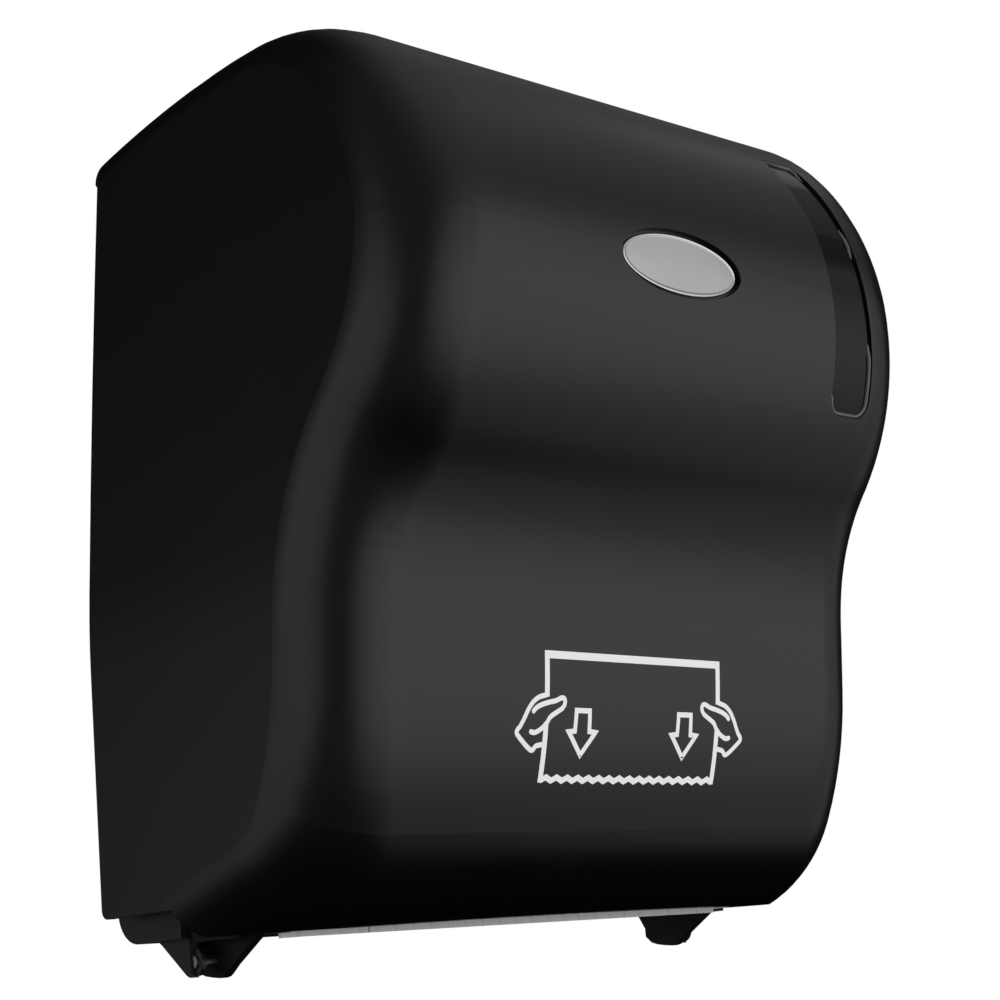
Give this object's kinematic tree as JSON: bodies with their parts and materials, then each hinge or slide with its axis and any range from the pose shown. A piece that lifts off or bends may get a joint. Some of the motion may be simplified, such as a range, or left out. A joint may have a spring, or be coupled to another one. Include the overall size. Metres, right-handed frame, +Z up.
{
  "type": "wall-mounted paper towel dispenser",
  "caption": "Black wall-hung mechanical roll towel dispenser: S-curved hinged cover, smoked roll window, cutting drum, ribbed outlet.",
  "frame": {"origin": "centre of the four wall screw holes, in the plane of the wall", "axes": "+X to the right as seen from the front, +Y into the wall, +Z up; the front faces -Y"},
  "size_m": [0.321, 0.221, 0.3775],
  "materials": {
    "black_abs": "fine satin grain",
    "smoked_window": "polished, smoked clear",
    "satin_plate": "satin, bare",
    "bright_steel": "zinc plated",
    "grey_plastic": "fine grain",
    "drum_plastic": "moulded",
    "acetal": "natural, slightly waxy",
    "rubber_grip": "ground rubber",
    "feed_plastic": "moulded",
    "lock_zinc": "die cast and plated"
  },
  "bodies": {
    "frame": {"chassis": "black_abs", "side_frame_left": "black_abs", "side_frame_right": "black_abs", "frame_screws": "bright_steel", "rear_tie_bar": "bright_steel", "front_tie_bar": "bright_steel", "drum_bush_left": "acetal", "drum_bush_right": "acetal", "cam_track": "acetal", "spring_anchor": "bright_steel", "return_spring": "bright_steel", "pinch_bushes": "acetal", "paper_guide": "black_abs", "outlet_chute": "grey_plastic", "arm_bracket_left": "grey_plastic", "arm_bracket_right": "grey_plastic", "arm_pins": "bright_steel"},
    "cover": {"front_cover": "black_abs", "roll_window": "smoked_window", "nameplate": "satin_plate", "hinge_bracket_left": "black_abs", "hinge_bracket_right": "black_abs", "hinge_pin_left": "bright_steel", "hinge_pin_right": "bright_steel", "lock_housing": "lock_zinc"},
    "lock": {"lock_barrel": "lock_zinc", "lock_cam": "lock_zinc"},
    "drum": {"drum_shell_slotted": "drum_plastic", "drum_shell_plain": "drum_plastic", "drum_cap_left": "drum_plastic", "drum_cap_right": "drum_plastic", "drum_shaft": "bright_steel", "grip_bands": "rubber_grip", "crank_disc": "drum_plastic", "feed_knob": "feed_plastic", "knife_springs": "bright_steel"},
    "knife": {"knife_carriage": "drum_plastic", "serrated_knife": "bright_steel"},
    "knife_roller": {"cam_roller": "acetal"},
    "pinch": {"pinch_shaft": "bright_steel", "pinch_rollers": "rubber_grip"},
    "arm_left": {"roll_arm_left": "grey_plastic"},
    "arm_right": {"roll_arm_right": "grey_plastic"},
    "hub_left": {"roll_hub_left": "acetal"},
    "hub_right": {"roll_hub_right": "acetal"}
  },
  "joints": [
    {"name": "cover_hinge", "type": "hinge", "parent": "frame", "child": "cover", "pos_m": [0, -0.044, -0.183], "axis": [1, 0, 0], "range_deg": [0, 95]},
    {"name": "lock_turn", "type": "hinge", "parent": "cover", "child": "lock", "pos_m": [0, -0.036, 0.156], "axis": [0, 0, -1], "range_deg": [0, 90]},
    {"name": "drum_spin", "type": "hinge", "parent": "frame", "child": "drum", "pos_m": [0, -0.099, -0.112], "axis": [-1, 0, 0], "continuous": true, "deforming": ["return_spring"]},
    {"name": "pinch_spin", "type": "hinge", "parent": "frame", "child": "pinch", "pos_m": [0, -0.05007, -0.08375], "axis": [-1, 0, 0], "continuous": true},
    {"name": "knife_out", "type": "slide", "parent": "drum", "child": "knife", "axis": [0, 0, 1], "range_m": [0, 0.009], "stiffness_N_per_m": 250, "springref_m": -0.008, "deforming": ["knife_springs"]},
    {"name": "roller_spin", "type": "hinge", "parent": "knife", "child": "knife_roller", "pos_m": [-0.115, -0.099, -0.08], "axis": [1, 0, 0], "continuous": true},
    {"name": "arm_left_spread", "type": "hinge", "parent": "frame", "child": "arm_left", "pos_m": [-0.1175, -0.012, 0.076], "axis": [0, 0, -1], "range_deg": [0, 8], "stiffness_Nm_per_rad": 1.2, "springref_deg": -11.46},
    {"name": "arm_right_spread", "type": "hinge", "parent": "frame", "child": "arm_right", "pos_m": [0.1175, -0.012, 0.076], "axis": [0, 0, 1], "range_deg": [0, 8], "stiffness_Nm_per_rad": 1.2, "springref_deg": -11.46},
    {"name": "hub_left_spin", "type": "hinge", "parent": "arm_left", "child": "hub_left", "pos_m": [-0.114, -0.104, 0.072], "axis": [1, 0, 0], "continuous": true},
    {"name": "hub_right_spin", "type": "hinge", "parent": "arm_right", "child": "hub_right", "pos_m": [0.114, -0.104, 0.072], "axis": [1, 0, 0], "continuous": true}
  ],
  "couplings": [
    {"joint": "pinch_spin", "follows": "drum_spin", "ratio": -4.7347}
  ]
}
